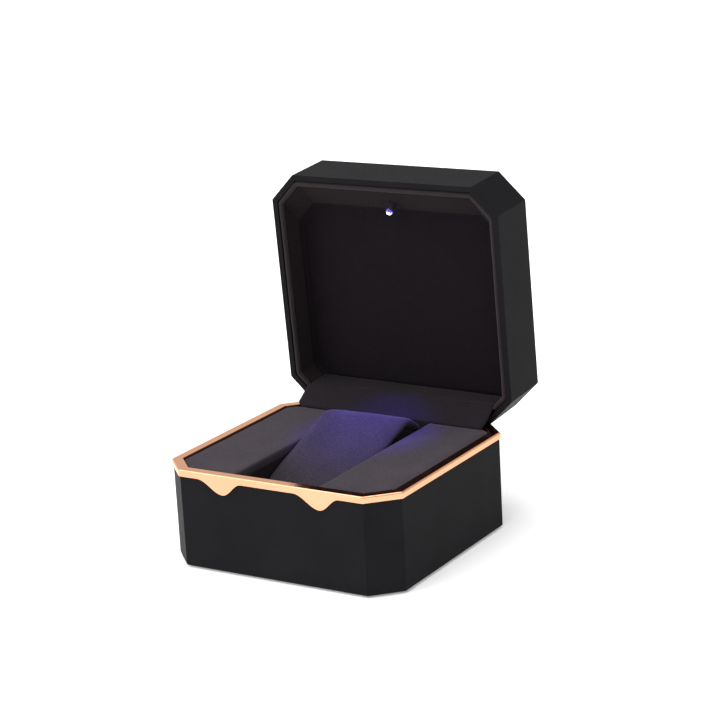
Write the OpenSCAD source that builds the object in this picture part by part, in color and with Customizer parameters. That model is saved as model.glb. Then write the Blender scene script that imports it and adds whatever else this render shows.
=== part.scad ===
// Octagonal presentation box: a base with a metal trim and a padded insert,
// a sprung display tongue between two pads, and a hinged lid with a small lamp.
//
// The origin is the centre of the flat underside. +Z is up, +X is to the right
// and the box opens towards -Y. Everything on the lid is described with the lid
// shut and is then swung open about the hinge pin by open_angle.

/* [Outside] */
// Overall width, measured over the trim
body_w = 100; // [96:1:110]
// Overall depth, measured over the trim
body_d = 95; // [92:1:105]
// Height from the table to the top of the trim
base_h = 38.5; // [38.5:0.5:44]
// Depth of the lid shell
lid_h = 23; // [22:0.5:28]
// Length that each cut corner takes off a side
corner = 10.5; // [9:0.5:12]
// How far the lid stands open, from shut
open_angle = 85.75; // [80:0.25:95]

/* [Shells] */
// Wall thickness of both shells
wall = 2.2; // [2:0.1:2.4]
// Thickness of the floor of the base and the top of the lid
plate_t = 2; // [1.6:0.2:2.4]
// How far the base shell stands in from the face of the trim
shell_inset = 0.5; // [0.4:0.1:0.6]
// Bevel on the lower edge of the base and the upper edge of the lid
edge_bevel = 0.5; // [0.3:0.1:0.8]
// Thickness of the pad under the base
foot_t = 0.8; // [0.6:0.1:1.2]

/* [Trim] */
// Width of the flat top of the trim
trim_w = 3.9; // [3.5:0.1:4.1]
// Thickness of the top frame
frame_t = 0.5; // [0.4:0.1:0.6]
// Height of the band below the top frame
band_h = 2; // [1.8:0.1:2.4]
// Thickness of the band
band_t = 1.4; // [1.2:0.1:1.5]
// How far each drip hangs below the band
drip_depth = 5; // [3:0.5:8]
// Reach of a drip on its long side
drip_left = 11; // [8:0.5:14]
// Reach of a drip on its short side
drip_right = 8.2; // [6:0.1:12]

/* [Insert] */
// Half the width of the channel between the pads
channel_half = 17.6; // [15:0.2:19]
// Height of the top of the pads above the table
pad_top = 37.9; // [37:0.1:38.2]
// Thickness of each pad
pad_t = 3.7; // [3:0.1:5]
// Back edge of the pads
pad_back = 38.7; // [37:0.1:39]
// Height of the channel floor above the table
channel_floor = 16.6; // [12:0.2:18]

/* [Tongue] */
// Half the width of the tongue
tongue_half = 17; // [14:0.5:17]
// Thickness of the padded tongue
tongue_t = 3.2; // [2.4:0.1:3.4]
// Thickness of the steel leaf inside it
leaf_t = 0.5; // [0.3:0.1:0.6]
// Highest point of the tongue above the table
crest_z = 44.3; // [42:0.1:45]
// Distance of the crest behind the middle of the box
crest_y = 23; // [20:0.5:24]
// Radius of the crest, to the middle of the leaf
crest_r = 7; // [6:0.5:8]
// Slope of the long front part
rise_angle = 19; // [17:0.5:20]
// Slope of the short tail
fall_angle = 38; // [30:1:45]
// Length of the tail
tail_l = 6; // [5:0.5:7]

/* [Lid inside] */
// Depth of the lining, from the rim to the panel
lining_depth = 11.9; // [11:0.1:13]
// Thickness of the lining's walls
lining_t = 1.6; // [1.4:0.1:1.8]
// Front end of the panel, where the sloped wall reaches it
panel_front = -33; // [-34:0.5:-31]
// Radius of the lamp's lens
lamp_r = 1.5; // [1.4:0.1:1.6]
// How far the lamp stands out of the sloped wall
lamp_out = 5; // [3:0.5:5.5]

/* [Hinge] */
// Distance of the pin in from the back face of the lid
hinge_inset = 1; // [0.9:0.05:1.1]
// Distance of the pin below the top of the trim
hinge_drop = 0.7; // [0.65:0.05:0.75]
// Outer radius of the knuckles
knuckle_r = 1.3; // [1.2:0.05:1.35]
// Radius of the pin
pin_r = 0.6; // [0.5:0.05:0.65]
// Length of the row of knuckles
barrel_l = 36; // [30:2:36]

/* [Hidden] */

$fn = 48;
big = 200;
half_d = body_d / 2;

// base levels and insets
shell_z0 = foot_t;
floor_z = foot_t + plate_t;
band_z1 = base_h - frame_t;
band_z0 = band_z1 - band_h;
inner_inset = shell_inset + wall;
rebate_gap = 0.05;
lip_t = 0.8;
lip_z0 = 35;
foot_inset = 2.5;
frame_inset = 0.1;
frame_bevel = 0.35;
drip_x = [-20.4, 21.4];
drip_step = 10;
back_y = half_d - shell_inset;

// insert
tray_t = 0.6;
tray_inset = trim_w + 0.4;
pad_inset = trim_w + 0.3;
pad_z0 = pad_top - pad_t;
lining_in = 0.4;
trough_half = channel_half + lining_in;
trough_front = -half_d + tray_inset + tray_t;
tray_back = pad_back - 0.2;
trough_back = tray_back - tray_t;
trough_floor = channel_floor - lining_in;

// tongue
crest_cz = crest_z - tongue_t / 2 - crest_r;
root_y = -38.8;
rise_y = crest_y - crest_r * sin(rise_angle);
rise_z = crest_cz + crest_r * cos(rise_angle);
root_z = rise_z - tan(rise_angle) * (rise_y - root_y);
root_gap = 0.1;
anchor_front = trough_front + lining_in + 0.1;
anchor_back = root_y + 2.8;
anchor_low = 2.4;
leaf_gap = 0.6;

// hinge
hinge_y = half_d - hinge_inset;
hinge_z = base_h - hinge_drop;
knuckles = 5;
knuckle_pitch = barrel_l / knuckles;
knuckle_gap = 0.1;
bore_r = pin_r + 0.05;
barrel_room = barrel_l / 2 + 0.9;
lid_notch_r = knuckle_r + 0.3;
base_notch_z = hinge_z - 2.4;
base_notch_y = 43.9;
steel_t = 0.6;
leaf_half = barrel_l / 2 - 0.5;
base_leaf_y = half_d - inner_inset - steel_t;
lid_leaf_y = half_d - wall - steel_t;
base_leaf_z0 = 24;
lid_leaf_z0 = hinge_z + 0.9;
lid_leaf_z1 = hinge_z + 12;
leaf_clear = 2.1;
spring_t = 0.35;
spring_half = 9;
finger_w = 3.6;
screw_r = 0.75;
screw_hole_r = 0.8;
screw_head_r = 1.4;
screw_head_t = 0.7;
screw_bite = 1.6;
base_screw_x = [-13, 0, 13];
base_screw_z = 28;
lid_screw_x = [-13, 13];
lid_screw_z = 45;

// lid, shut
rim_gap = 0.1;
rim_z = base_h + rim_gap;
lid_top = rim_z + lid_h;
ceiling_z = lid_top - plate_t;
lining_z0 = rim_z + 0.3;
lining_inset = wall + 0.1;
lining_face = lining_inset + lining_t;
panel_z = rim_z + lining_depth;
panel_t = 1.5;
board_t = 0.8;
panel_back = 39.2;
flap_y = 39.4;
flap_t = 1;
flap_half = 41;
rear_cut_half = 41.2;
rear_cut_y = 38.9;
ledge_front = -half_d + lining_face + 0.1;
ledge_t = 1.2;
ledge_angle = atan2(panel_z - lining_z0, panel_front - ledge_front);
ledge_l = norm([panel_z - lining_z0, panel_front - ledge_front]);
lamp_at = 0.655;
lamp_y = ledge_front + lamp_at * (panel_front - ledge_front);
lamp_z = lining_z0 + lamp_at * (panel_z - lining_z0);
lamp_hole_r = lamp_r + 0.1;
lamp_flange_r = lamp_r + 0.4;
lamp_flange_t = 0.9;
lamp_leg_r = 0.25;
lamp_leg_x = 1.27 / 2 + 0.25;
lamp_board_depth = ledge_t + lamp_flange_t + 0.3;
lamp_board_t = 1;
lamp_board_w = 14;
lamp_board_l = 7.5;

// battery and switch, in the lid
cell_r = 10;
cell_t = 3.2;
cell_y = 5;
holder_r = 12;
holder_h = 4.6;
holder_floor = 1;
contact_w = 4;
contact_t = 0.3;
plunger_x = 28;
plunger_y = 43.8;
plunger_r = 0.8;
plunger_bore_r = 0.85;
plunger_l = 7.35;
plunger_out = 1.45;
switch_w = 6;
switch_y0 = 42.2;
switch_z0 = 41;
switch_h = 5.8;

// strip of fabric over the hinge
strip_t = 0.8;
strip_half = 41;
strip_y = 39.4;
strip_z0 = 31;
strip_end_y = 46.8;
strip_end_z = 44.4;

// wires, r and the routes that they follow in the shut lid
wire_r = 0.4;
wire_sides = 8;
lamp_wire = [[5, -7.6, 57], [5.5, -14, 55.6], [5, -24, 54.6], [4, -32, 54.2], [3.4, -37, 53.2],
    [3.2, -39.6, 50.9]];
switch_wire = [[7.5, 15.2, 57], [12, 22, 55.6], [20, 32, 54.6], [26, 38.5, 54.2], [28, 42, 52.6],
    [28, 43.6, 49.6], [28, 43.7, 47.3]];
wire_spacing = 1.6;

// Corner cut of the octagon that lies t inside the outer one
function inset_corner(t) = corner - t * (2 - sqrt(2));

// Points of an arc about c, from angle a0 to a1
function arc(c, r, a0, a1, n) = [for (i = [0:n]) c + r * [cos(a0 + (a1 - a0) * i / n), sin(a0 + (a1 - a0) * i / n)]];

// Side view of the tongue, grown by g from the middle of its leaf, rounded at both ends when ends is true
function tongue_outline(g, cut) =
    let (
        c = [crest_y, crest_cz],
        up = [cos(rise_angle), sin(rise_angle)],
        down = [cos(fall_angle), -sin(fall_angle)],
        up_n = [-sin(rise_angle), cos(rise_angle)],
        down_n = [sin(fall_angle), cos(fall_angle)],
        root = [root_y, root_z] + cut * up,
        tip = c + crest_r * down_n + (tail_l - cut) * down
    )
    concat(
        [root + g * up_n],
        arc(c, crest_r + g, 90 + rise_angle, 90 - fall_angle, 14),
        [tip + g * down_n, tip + g * 0.6 * down, tip - g * down_n],
        arc(c, crest_r - g, 90 - fall_angle, 90 + rise_angle, 14),
        [root - g * up_n]
    );

// Outline of one drip: two half waves of different reach that meet at its tip
function drip_side(reach, sign) = [for (i = [0:drip_step])
    [sign * reach * i / drip_step, -drip_depth * (1 + cos(180 * i / drip_step)) / 2]];

module octagon(t = 0) {
    a = body_w / 2 - t;
    b = body_d / 2 - t;
    c = inset_corner(t);
    polygon([[-a, c - b], [c - a, -b], [a - c, -b], [a, c - b], [a, b - c], [a - c, b], [c - a, b], [-a, b - c]]);
}

module prism(t, z0, z1) {
    translate([0, 0, z0])
        linear_extrude(z1 - z0)
            octagon(t);
}

// Octagonal block with a bevel on its lower and upper edges
module bevelled_prism(t, z0, z1, low, high) {
    hull() {
        prism(t, z0 + low, z1 - high);
        if (low > 0)
            prism(t + low, z0, z0 + low);
        if (high > 0)
            prism(t + high, z1 - high, z1);
    }
}

module ring(t0, t1, z0, z1) {
    difference() {
        prism(t0, z0, z1);
        prism(t1, z0 - 1, z1 + 1);
    }
}

// Block between two opposite corners
module block(low, high) {
    translate(low)
        cube(high - low);
}

// Everything on the lid is drawn shut and swings open about the pin
module opened() {
    translate([0, hinge_y, hinge_z])
        rotate([-open_angle, 0, 0])
            translate([0, -hinge_y, -hinge_z])
                children();
}

// A side view in Y and Z, drawn out along X
module side_view(half) {
    translate([-half, 0, 0])
        rotate([90, 0, 90])
            linear_extrude(2 * half)
                children();
}

// A cylinder along X between two places
module rod_x(x0, x1, y, z, r) {
    translate([x0, y, z])
        rotate([0, 90, 0])
            cylinder(h = x1 - x0, r = r);
}

// A cylinder along Y between two places
module rod_y(x, y0, y1, z, r) {
    translate([x, y0, z])
        rotate([-90, 0, 0])
            cylinder(h = y1 - y0, r = r);
}

// Room for the knuckles at the back of the base
module base_notch() {
    block([-barrel_room, base_notch_y, base_notch_z], [barrel_room, big, big]);
}

module base_shell() {
    color("#29292b")
        difference() {
            union() {
                bevelled_prism(shell_inset, shell_z0, band_z0, edge_bevel, 0);
                prism(band_t + rebate_gap, band_z0 - 1, band_z1);
            }
            prism(inner_inset, floor_z, big);
            base_notch();
            for (x = base_screw_x)
                rod_y(x, base_leaf_y, base_leaf_y + steel_t + screw_bite, base_screw_z, screw_hole_r);
        }
}

module base_pad() {
    color("#1c1c1e")
        prism(foot_inset, 0, foot_t);
}

module drip(x) {
    translate([x, back_y - body_d + 2 * shell_inset, band_z0])
        rotate([90, 0, 0])
            linear_extrude(shell_inset)
                polygon(concat(
                    [[drip_right, band_t / 2], [-drip_left, band_t / 2]],
                    [for (i = [drip_step:-1:1]) drip_side(drip_left, -1)[i]],
                    drip_side(drip_right, 1)
                ));
}

module trim_band() {
    color("#e0a883")
        difference() {
            union() {
                ring(0, band_t, band_z0, band_z1);
                for (x = drip_x)
                    drip(x);
            }
            block([-big, back_y, 0], [big, big, big]);
            base_notch();
        }
}

module trim_frame() {
    color("#e8b18e")
        difference() {
            union() {
                difference() {
                    bevelled_prism(frame_inset, band_z1, base_h, 0, frame_bevel);
                    prism(trim_w, 0, big);
                }
                ring(trim_w - lip_t, trim_w, lip_z0, band_z1 + frame_t / 2);
            }
            block([-big, hinge_y + 0.1, 0], [big, big, big]);
            block([-barrel_room, 0, 0], [barrel_room, big, big]);
        }
}

module insert_tray() {
    color("#3a3a3d")
        difference() {
            intersection() {
                union() {
                    ring(tray_inset, tray_inset + tray_t, floor_z, pad_z0);
                    prism(tray_inset, pad_z0 - tray_t, pad_z0);
                    block([-big, trough_back, floor_z], [big, tray_back, pad_z0]);
                    block([-trough_half - tray_t, -half_d, trough_floor - tray_t],
                        [trough_half + tray_t, tray_back, pad_z0]);
                }
                intersection() {
                    prism(tray_inset, floor_z, pad_z0);
                    block([-big, -big, 0], [big, tray_back, big]);
                }
            }
            block([-trough_half, trough_front, trough_floor], [trough_half, trough_back, big]);
        }
}

// One pad: side is 1 for the right pad and -1 for the left
module pad(side) {
    intersection() {
        prism(pad_inset, pad_z0, pad_top);
        translate([side * (trough_half + big / 2), pad_back - big / 2, 0])
            cube([big, big, big], center = true);
    }
}

module left_pad() {
    color("#4a444c")
        pad(-1);
}

module right_pad() {
    color("#4a444c")
        pad(1);
}

module channel_lining() {
    color("#3a343c")
        difference() {
            block([-trough_half, trough_front, trough_floor], [trough_half, trough_back, pad_z0]);
            block([-channel_half, trough_front + lining_in, channel_floor],
                [channel_half, trough_back - lining_in, big]);
        }
}

module tongue_cover() {
    color("#5a4a86")
        difference() {
            union() {
                side_view(tongue_half)
                    polygon(tongue_outline(tongue_t / 2, 0));
                rod_x(-tongue_half, tongue_half, root_y, root_z, tongue_t / 2);
            }
            side_view(tongue_half - leaf_gap)
                polygon(tongue_outline(leaf_t / 2, leaf_gap));
        }
}

module tongue_spring() {
    color("#a8a8ac")
        side_view(tongue_half - leaf_gap)
            polygon(tongue_outline(leaf_t / 2, leaf_gap));
}

module tongue_anchor() {
    color("#3a3a3d")
        difference() {
            union() {
                block([-tongue_half, anchor_front, channel_floor], [tongue_half, anchor_back, root_z - anchor_low]);
                block([-tongue_half, anchor_front, channel_floor],
                    [tongue_half, root_y - tongue_t / 2 + 0.2, root_z]);
            }
            rod_x(-big / 2, big / 2, root_y, root_z, tongue_t / 2 + root_gap);
        }
}

// Knuckles whose number is first, first + 2 and so on
module knuckle_row(first) {
    for (i = [first:2:knuckles - 1])
        rod_x(knuckle_x0(i), knuckle_x1(i), hinge_y, hinge_z, knuckle_r);
}

function knuckle_x0(i) = -barrel_l / 2 + i * knuckle_pitch + knuckle_gap;
function knuckle_x1(i) = knuckle_x0(i) + knuckle_pitch - 2 * knuckle_gap;

module pin_bore() {
    rod_x(-barrel_l, barrel_l, hinge_y, hinge_z, bore_r);
}

module hinge_leaf_base() {
    web_end = hinge_y - 0.9;
    color("#b9b9bd")
        difference() {
            union() {
                block([-leaf_half, base_leaf_y, base_leaf_z0],
                    [leaf_half, base_leaf_y + steel_t, hinge_z - leaf_clear]);
                for (i = [0:2:knuckles - 1]) {
                    block([max(knuckle_x0(i), -leaf_half), base_leaf_y, hinge_z - leaf_clear - 1],
                        [min(knuckle_x1(i), leaf_half), base_leaf_y + steel_t, hinge_z]);
                    block([max(knuckle_x0(i), -leaf_half), base_leaf_y, hinge_z - steel_t],
                        [min(knuckle_x1(i), leaf_half), web_end, hinge_z]);
                }
                knuckle_row(0);
            }
            pin_bore();
            for (x = base_screw_x)
                rod_y(x, base_leaf_y - 1, base_leaf_y + 1, base_screw_z, screw_hole_r);
        }
}

module hinge_leaf_lid() {
    web_end = hinge_y - 0.9;
    color("#b9b9bd")
        opened()
            difference() {
                union() {
                    block([-leaf_half, lid_leaf_y, lid_leaf_z0], [leaf_half, lid_leaf_y + steel_t, lid_leaf_z1]);
                    for (i = [1:2:knuckles - 1]) {
                        block([knuckle_x0(i), lid_leaf_y, hinge_z], [knuckle_x1(i), web_end, hinge_z + steel_t]);
                        block([knuckle_x0(i), lid_leaf_y, hinge_z],
                            [knuckle_x1(i), lid_leaf_y + steel_t, lid_leaf_z0 + 1]);
                    }
                    knuckle_row(1);
                }
                pin_bore();
                for (x = lid_screw_x)
                    rod_y(x, lid_leaf_y - 1, lid_leaf_y + 1, lid_screw_z, screw_hole_r);
            }
}

module hinge_pin() {
    head_x = barrel_l / 2 + 0.1;
    head_t = 0.35;
    head_r = pin_r + 0.5;
    color("#c8c8cc")
        union() {
            rod_x(-head_x, head_x, hinge_y, hinge_z, pin_r);
            rod_x(head_x, head_x + head_t, hinge_y, hinge_z, head_r);
            rod_x(-head_x - head_t, -head_x, hinge_y, hinge_z, head_r);
        }
}

// Flat spring whose two fingers press on the lid's knuckles and snap the lid open and shut
module snap_spring() {
    y0 = base_leaf_y - spring_t;
    tab_z = hinge_z - knuckle_r - 0.1;
    color("#8f8f94")
        difference() {
            union() {
                block([-spring_half, y0, base_leaf_z0 + 1], [spring_half, base_leaf_y, base_leaf_z0 + 6]);
                for (side = [-1, 1])
                    translate([side * knuckle_pitch, 0, 0]) {
                        block([-finger_w / 2, y0, base_leaf_z0 + 5], [finger_w / 2, base_leaf_y, tab_z]);
                        block([-finger_w / 2, y0, tab_z - spring_t], [finger_w / 2, hinge_y - 0.8, tab_z]);
                    }
            }
            rod_y(0, y0 - 1, base_leaf_y + 1, base_screw_z, screw_hole_r);
        }
}

// Pan-head screw along +Y with its head on the face at y
module screw(x, y, z, grip) {
    union() {
        rod_y(x, y - screw_head_t, y, z, screw_head_r);
        rod_y(x, y - screw_head_t / 2, y + grip + screw_bite - 0.1, z, screw_r);
    }
}

module hinge_screws_base() {
    color("#9a9a9e")
        union() {
            for (x = base_screw_x)
                screw(x, x == 0 ? base_leaf_y - spring_t : base_leaf_y, base_screw_z,
                    x == 0 ? steel_t + spring_t : steel_t);
        }
}

module hinge_screws_lid() {
    color("#9a9a9e")
        opened()
            union() {
                for (x = lid_screw_x)
                    screw(x, lid_leaf_y, lid_screw_z, steel_t);
            }
}

// Fabric over the hinge: up behind the pads, then sloping back to the lid
module hinge_strip() {
    ramp = [strip_end_y - strip_y, strip_end_z - pad_top];
    lift = strip_t * [-ramp[1], ramp[0]] / norm(ramp);
    color("#4a444c")
        side_view(strip_half)
            polygon([
                [strip_y - strip_t / 2, strip_z0],
                [strip_y + strip_t / 2, strip_z0],
                [strip_y + strip_t / 2, pad_top],
                [strip_end_y, strip_end_z] - lift / 2,
                [strip_end_y, strip_end_z] + lift / 2,
                [strip_y - strip_t / 2, pad_top + strip_t / 2]
            ]);
}

module lid_shell() {
    color("#2b2b2d")
        opened()
            difference() {
                bevelled_prism(0, rim_z, lid_top, 0, edge_bevel);
                prism(wall, 0, ceiling_z);
                rod_x(-barrel_room, barrel_room, hinge_y, hinge_z, lid_notch_r);
                for (x = lid_screw_x)
                    rod_y(x, lid_leaf_y, lid_leaf_y + steel_t + screw_bite, lid_screw_z, screw_hole_r);
            }
}

// Sloped wall at the front of the lid, seen from the side
module ledge_profile() {
    shift = ledge_t * [-sin(ledge_angle), cos(ledge_angle)];
    start = [ledge_front, lining_z0];
    end = [panel_front, panel_z];
    polygon([[-half_d + lining_inset, lining_z0], start, end, end + shift, start + shift,
        [-half_d + lining_inset, start[1] + shift[1]]]);
}

module at_lamp() {
    translate([0, lamp_y, lamp_z])
        rotate([180 + ledge_angle, 0, 0])
            children();
}

module lid_lining() {
    color("#463f48")
        opened()
            difference() {
                union() {
                    ring(lining_inset, lining_face, lining_z0, panel_z + panel_t + board_t);
                    intersection() {
                        side_view(body_w)
                            ledge_profile();
                        prism(lining_inset, 0, big);
                    }
                }
                block([-rear_cut_half, rear_cut_y, 0], [rear_cut_half, big, big]);
                at_lamp()
                    translate([0, 0, -ledge_t - 1])
                        cylinder(h = ledge_t + 2, r = lamp_hole_r);
            }
}

module lid_rear_flap() {
    color("#463f48")
        opened()
            block([-flap_half, flap_y, lining_z0 + 0.1], [flap_half, flap_y + flap_t, panel_z - 0.1]);
}

module panel_plate(t, z0, z1) {
    intersection() {
        prism(t, z0, z1);
        block([-big, panel_front + 0.1, 0], [big, panel_back, big]);
    }
}

module lid_panel() {
    color("#1d1b20")
        opened()
            panel_plate(lining_face + 0.1, panel_z, panel_z + panel_t);
}

module panel_board() {
    color("#8c8476")
        opened()
            panel_plate(lining_face + 0.3, panel_z + panel_t, panel_z + panel_t + board_t);
}

// Round lamp with a domed lens, a flange behind the wall and two legs
module led_lamp() {
    back = ledge_t + lamp_flange_t;
    color("#dcdcff")
        opened()
            at_lamp() {
                union() {
                    translate([0, 0, -back + 0.1])
                        cylinder(h = back + lamp_out - lamp_r - 0.1, r = lamp_r);
                    intersection() {
                        translate([0, 0, lamp_out - lamp_r])
                            sphere(r = lamp_r);
                        translate([0, 0, lamp_out - lamp_r + big / 2])
                            cube(big, center = true);
                    }
                    translate([0, 0, -back])
                        cylinder(h = lamp_flange_t, r = lamp_flange_r);
                    for (side = [-1, 1])
                        translate([side * lamp_leg_x, 0, -lamp_board_depth - lamp_board_t - 0.6])
                            cylinder(h = lamp_board_t + 1.1, r = lamp_leg_r);
                }
            }
}

module led_board() {
    color("#2f6b3c")
        opened()
            at_lamp()
                difference() {
                    block([-lamp_board_w / 2, -lamp_board_l / 2, -lamp_board_depth - lamp_board_t],
                        [lamp_board_w / 2, lamp_board_l / 2, -lamp_board_depth]);
                    for (side = [-1, 1])
                        translate([side * lamp_leg_x, 0, -lamp_board_depth - lamp_board_t - 1])
                            cylinder(h = lamp_board_t + 2, r = lamp_leg_r + 0.05);
                }
}

module battery_holder() {
    color("#202022")
        opened()
            translate([0, cell_y, ceiling_z - holder_h])
                difference() {
                    cylinder(h = holder_h, r = holder_r);
                    translate([0, 0, -1])
                        cylinder(h = holder_h - holder_floor + 1, r = cell_r + 0.1);
                }
}

module coin_cell() {
    color("#c9cbd0")
        opened()
            translate([0, cell_y, ceiling_z - holder_floor - 0.1 - cell_t])
                cylinder(h = cell_t, r = cell_r);
}

module battery_contact() {
    z1 = ceiling_z - holder_h;
    color("#c2a257")
        opened()
            block([-holder_r, cell_y - contact_w / 2, z1 - contact_t], [holder_r, cell_y + contact_w / 2, z1]);
}

module switch_body() {
    color("#1f1f21")
        opened()
            difference() {
                block([plunger_x - switch_w / 2, switch_y0, switch_z0],
                    [plunger_x + switch_w / 2, half_d - wall - 0.1, switch_z0 + switch_h]);
                translate([plunger_x, plunger_y, switch_z0 - 1])
                    cylinder(h = switch_h + 0.4, r = plunger_bore_r);
            }
}

module switch_plunger() {
    color("#d8d8d8")
        opened()
            translate([plunger_x, plunger_y, rim_z - plunger_out])
                cylinder(h = plunger_l, r = plunger_r);
}

// Unit vector
function unit(v) = v / norm(v);

// Direction of a route at point i
function heading(p, i) = unit(p[min(i + 1, len(p) - 1)] - p[max(i - 1, 0)]);

// Ring of points round a route at point i
function wire_ring(p, i) =
    let (t = heading(p, i), a = unit(cross(t, [1, 0.3, 0.2])), b = cross(t, a))
    [for (k = [0:wire_sides - 1]) p[i] + wire_r * (cos(360 * k / wire_sides) * a + sin(360 * k / wire_sides) * b)];

module wire(p) {
    n = len(p);
    points = [for (i = [0:n - 1]) each wire_ring(p, i)];
    sides = [for (i = [0:n - 2], k = [0:wire_sides - 1])
        let (a = i * wire_sides + k, b = i * wire_sides + (k + 1) % wire_sides)
        each [[a, b + wire_sides, b], [a, a + wire_sides, b + wire_sides]]];
    caps = [[for (k = [0:wire_sides - 1]) k], [for (k = [wire_sides - 1:-1:0]) (n - 1) * wire_sides + k]];
    polyhedron(points = points, faces = concat(sides, caps));
}

module lead_wires() {
    color("#a3262a")
        opened()
            union() {
                for (side = [-1, 1]) {
                    translate([side * wire_spacing / 2 - 3, 0, 0])
                        wire(lamp_wire);
                    translate([side * wire_spacing / 2, 0, 0])
                        wire(switch_wire);
                }
            }
}

base_shell();
base_pad();
trim_band();
trim_frame();
insert_tray();
left_pad();
right_pad();
channel_lining();
tongue_cover();
tongue_spring();
tongue_anchor();
hinge_leaf_base();
hinge_leaf_lid();
hinge_pin();
snap_spring();
hinge_screws_base();
hinge_screws_lid();
hinge_strip();
lid_shell();
lid_lining();
lid_rear_flap();
lid_panel();
panel_board();
led_lamp();
led_board();
battery_holder();
coin_cell();
battery_contact();
switch_body();
switch_plunger();
lead_wires();
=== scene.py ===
"""Looks of the presentation box: camera, lights, materials and the soft pieces, built round the CAD frame.

Lengths are written in millimetres and turned into metres by MM. Everything in the lid is described
with the lid shut, in the same frame as the CAD source, and is swung open by OPENED.
"""

import math

import bmesh
import bpy
from mathutils import Matrix, Vector, noise


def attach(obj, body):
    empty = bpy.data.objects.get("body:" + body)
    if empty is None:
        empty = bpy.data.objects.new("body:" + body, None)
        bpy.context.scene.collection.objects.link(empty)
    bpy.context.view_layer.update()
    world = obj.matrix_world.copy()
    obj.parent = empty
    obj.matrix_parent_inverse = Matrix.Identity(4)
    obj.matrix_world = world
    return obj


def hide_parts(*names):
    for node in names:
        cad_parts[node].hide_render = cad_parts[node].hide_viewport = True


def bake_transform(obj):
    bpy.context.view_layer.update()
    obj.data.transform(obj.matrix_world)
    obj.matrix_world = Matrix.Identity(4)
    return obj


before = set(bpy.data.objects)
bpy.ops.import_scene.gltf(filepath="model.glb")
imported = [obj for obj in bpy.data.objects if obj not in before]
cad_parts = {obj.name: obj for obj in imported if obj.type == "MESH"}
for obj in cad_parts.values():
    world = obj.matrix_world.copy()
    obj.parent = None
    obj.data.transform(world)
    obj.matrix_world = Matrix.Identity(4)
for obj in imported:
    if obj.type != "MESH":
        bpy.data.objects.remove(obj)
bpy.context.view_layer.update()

MM = 0.001
HALF_W = 50.0
HALF_D = 47.5
# Leg of each cut corner, and what it loses for each millimetre that the octagon shrinks.
CORNER = 10.5
CORNER_LOSS = 2 - math.sqrt(2)
HINGE_Y = 46.5
HINGE_Z = 37.8
OPEN_ANGLE = math.radians(85.75)
PAD_TOP = 37.9
PAD_LOW = 34.3
PANEL_Z = 50.5
CHANNEL_HALF = 17.6
CHANNEL_FLOOR = 16.6

OPENED = (
    Matrix.Translation((0, HINGE_Y, HINGE_Z))
    @ Matrix.Rotation(-OPEN_ANGLE, 4, "X")
    @ Matrix.Translation((0, -HINGE_Y, -HINGE_Z))
)


# ---------------------------------------------------------------- materials

# The stretch of values that most of a noise texture falls in.
NOISE_LOW = 0.3
NOISE_HIGH = 0.7


def linear(shade):
    """Linear light from one 0-255 display value."""
    share = shade / 255
    return share / 12.92 if shade <= 10.3 else ((share + 0.055) / 1.055) ** 2.4


def srgb(r, g, b):
    """Linear colour from 0-255 display values."""
    return (linear(r), linear(g), linear(b), 1.0)


class Look:
    """A principled material with its colour, roughness and bump from noise in object space."""

    def __init__(self, name, roughness=0.5, **sockets):
        self.material = bpy.data.materials.new(name)
        self.material.use_nodes = True
        self.tree = self.material.node_tree
        self.shader = self.tree.nodes["Principled BSDF"]
        self.shader.inputs["Roughness"].default_value = roughness
        for socket, value in sockets.items():
            self.shader.inputs[socket.replace("_", " ")].default_value = value
        self.place = self.tree.nodes.new("ShaderNodeTexCoord").outputs["Object"]

    def node(self, kind, **settings):
        made = self.tree.nodes.new(kind)
        for key, value in settings.items():
            setattr(made, key, value)
        return made

    def link(self, a, b):
        self.tree.links.new(a, b)

    def noise(self, size_mm, detail=3.0, stretch=(1, 1, 1), distortion=0.0):
        """Noise whose grains are about size_mm across."""
        mapping = self.node("ShaderNodeMapping")
        mapping.inputs["Scale"].default_value = tuple(s / (size_mm * MM) for s in stretch)
        self.link(self.place, mapping.inputs["Vector"])
        made = self.node("ShaderNodeTexNoise")
        made.inputs["Scale"].default_value = 1.0
        made.inputs["Detail"].default_value = detail
        made.inputs["Distortion"].default_value = distortion
        self.link(mapping.outputs["Vector"], made.inputs["Vector"])
        return made.outputs["Fac"]

    def ramp(self, value, stops):
        """Colour from a value, through stops of (value, colour)."""
        made = self.node("ShaderNodeValToRGB")
        elements = made.color_ramp.elements
        while len(elements) < len(stops):
            elements.new(0.5)
        for element, (at, colour) in zip(elements, stops):
            element.position = at
            element.color = colour
        self.link(value, made.inputs["Fac"])
        return made.outputs["Color"]

    def spread(self, value, low, high):
        """Noise mapped to low..high."""
        made = self.node("ShaderNodeMapRange")
        made.inputs["From Min"].default_value = NOISE_LOW
        made.inputs["From Max"].default_value = NOISE_HIGH
        made.inputs["To Min"].default_value = low
        made.inputs["To Max"].default_value = high
        self.link(value, made.inputs["Value"])
        return made.outputs["Result"]

    def blended(self, first, second, share):
        """Two values mixed, with that share of the second."""
        made = self.node("ShaderNodeMix", data_type="FLOAT")
        made.inputs["Factor"].default_value = share
        self.link(first, made.inputs[2])
        self.link(second, made.inputs[3])
        return made.outputs[0]

    def colour(self, value, low, high):
        stops = [(NOISE_LOW, low), (NOISE_HIGH, high)]
        self.link(self.ramp(value, stops), self.shader.inputs["Base Color"])

    def rough(self, value, low, high):
        self.link(self.spread(value, low, high), self.shader.inputs["Roughness"])

    def bump(self, value, height_mm):
        made = self.node("ShaderNodeBump")
        made.inputs["Strength"].default_value = 1.0
        made.inputs["Distance"].default_value = height_mm * MM
        self.link(value, made.inputs["Height"])
        self.link(made.outputs["Normal"], self.shader.inputs["Normal"])


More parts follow.
